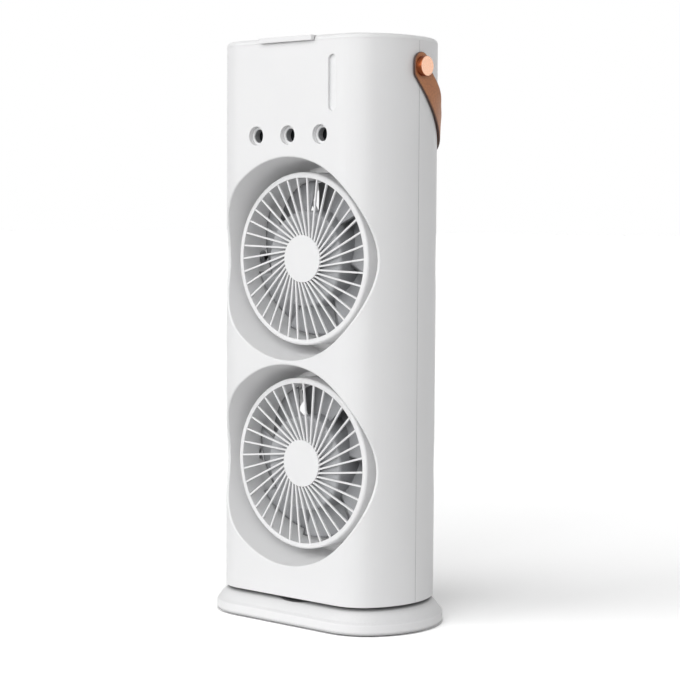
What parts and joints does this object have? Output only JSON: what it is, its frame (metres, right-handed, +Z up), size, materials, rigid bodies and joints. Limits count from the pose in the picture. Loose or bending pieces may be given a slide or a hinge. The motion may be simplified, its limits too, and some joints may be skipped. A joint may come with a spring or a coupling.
{
  "type": "dual-head portable fan",
  "caption": "Free-standing white mist tower with two tilting fan heads, a filler lid with top buttons, a leather carrying strap and a swinging oval base.",
  "frame": {"origin": "middle of the foot's underside, on the swing axis", "axes": "+X to the right of someone facing the fans, -Y towards that person, +Z up"},
  "size_m": [0.1386, 0.0856, 0.3206],
  "materials": {
    "white_abs": "satin",
    "impeller_grey": "satin",
    "frosted_window": "frosted",
    "tank_clear": "clear",
    "strap_leather": "smooth",
    "stud_copper": "polished",
    "steel": "satin",
    "motor_can": "satin",
    "cell_sleeve": "satin",
    "rubber_foot": "matte",
    "acetal": "satin",
    "dark_plastic": "matte",
    "circuit_board": "gloss",
    "disc_foil": "satin",
    "wick_cotton": "matte"
  },
  "bodies": {
    "base": {"base_cover": "white_abs", "base_plate": "dark_plastic", "anti_slip_pad": "rubber_foot", "base_weight": "steel", "base_screws": "steel", "swing_shaft": "steel", "swing_retainer": "steel", "glide_ring": "acetal"},
    "tower": {"front_shell": "white_abs", "rear_shell": "white_abs", "top_cover": "white_abs", "bottom_cover": "white_abs", "water_tank": "tank_clear", "level_window": "frosted_window", "nozzle_left": "white_abs", "nozzle_centre": "white_abs", "nozzle_right": "white_abs", "mist_disc_left": "disc_foil", "mist_disc_centre": "disc_foil", "mist_disc_right": "disc_foil", "disc_seals": "rubber_foot", "wick_left": "wick_cotton", "wick_centre": "wick_cotton", "wick_right": "wick_cotton", "control_board": "circuit_board", "battery_cell": "cell_sleeve", "battery_holder": "dark_plastic", "swing_motor": "motor_can", "charging_board": "circuit_board", "usb_socket": "steel", "tower_screws": "steel", "stud_left": "stud_copper", "stud_right": "stud_copper", "stud_nuts": "steel", "upper_pivot_bushes": "acetal", "lower_pivot_bushes": "acetal", "lid_seal": "rubber_foot"},
    "upper_head": {"upper_casing": "white_abs", "upper_front_grille": "white_abs", "upper_rear_grille": "white_abs", "upper_motor": "motor_can", "upper_pivot_pins": "steel", "upper_pivot_clips": "steel"},
    "upper_rotor": {"upper_impeller": "impeller_grey", "upper_motor_shaft": "steel"},
    "lower_head": {"lower_casing": "white_abs", "lower_front_grille": "white_abs", "lower_rear_grille": "white_abs", "lower_motor": "motor_can", "lower_pivot_pins": "steel", "lower_pivot_clips": "steel"},
    "lower_rotor": {"lower_impeller": "impeller_grey", "lower_motor_shaft": "steel"},
    "strap": {"carry_strap": "strap_leather"},
    "lid": {"tank_lid": "white_abs", "lid_hinge_pin": "steel"},
    "power_key": {"power_button": "white_abs"},
    "mist_key": {"mist_button": "white_abs"},
    "light_key": {"light_button": "white_abs"}
  },
  "joints": [
    {"name": "tower_swing", "type": "hinge", "parent": "base", "child": "tower", "pos_m": [0, 0, 0.0172], "axis": [0, 0, 1], "range_deg": [-30, 30]},
    {"name": "upper_head_tilt", "type": "hinge", "parent": "tower", "child": "upper_head", "pos_m": [0, -0.006, 0.2003], "axis": [-1, 0, 0], "range_deg": [-45, 45]},
    {"name": "lower_head_tilt", "type": "hinge", "parent": "tower", "child": "lower_head", "pos_m": [0, -0.006, 0.0874], "axis": [-1, 0, 0], "range_deg": [-45, 45]},
    {"name": "upper_fan_spin", "type": "hinge", "parent": "upper_head", "child": "upper_rotor", "pos_m": [0, -0.006, 0.2003], "axis": [0, -1, 0], "continuous": true},
    {"name": "lower_fan_spin", "type": "hinge", "parent": "lower_head", "child": "lower_rotor", "pos_m": [0, -0.006, 0.0874], "axis": [0, -1, 0], "continuous": true},
    {"name": "strap_swing", "type": "hinge", "parent": "tower", "child": "strap", "pos_m": [0, 0, 0.3036], "axis": [1, 0, 0], "range_deg": [0, 135]},
    {"name": "lid_hinge", "type": "hinge", "parent": "tower", "child": "lid", "pos_m": [0, -0.006, 0.3186], "axis": [-1, 0, 0], "range_deg": [0, 95]},
    {"name": "power_button_press", "type": "slide", "parent": "tower", "child": "power_key", "axis": [0, 0, -1], "range_m": [0, 0.0008], "stiffness_N_per_m": 400, "springref_m": -0.0005},
    {"name": "mist_button_press", "type": "slide", "parent": "tower", "child": "mist_key", "axis": [0, 0, -1], "range_m": [0, 0.0008], "stiffness_N_per_m": 400, "springref_m": -0.0005},
    {"name": "light_button_press", "type": "slide", "parent": "tower", "child": "light_key", "axis": [0, 0, -1], "range_m": [0, 0.0008], "stiffness_N_per_m": 400, "springref_m": -0.0005}
  ]
}
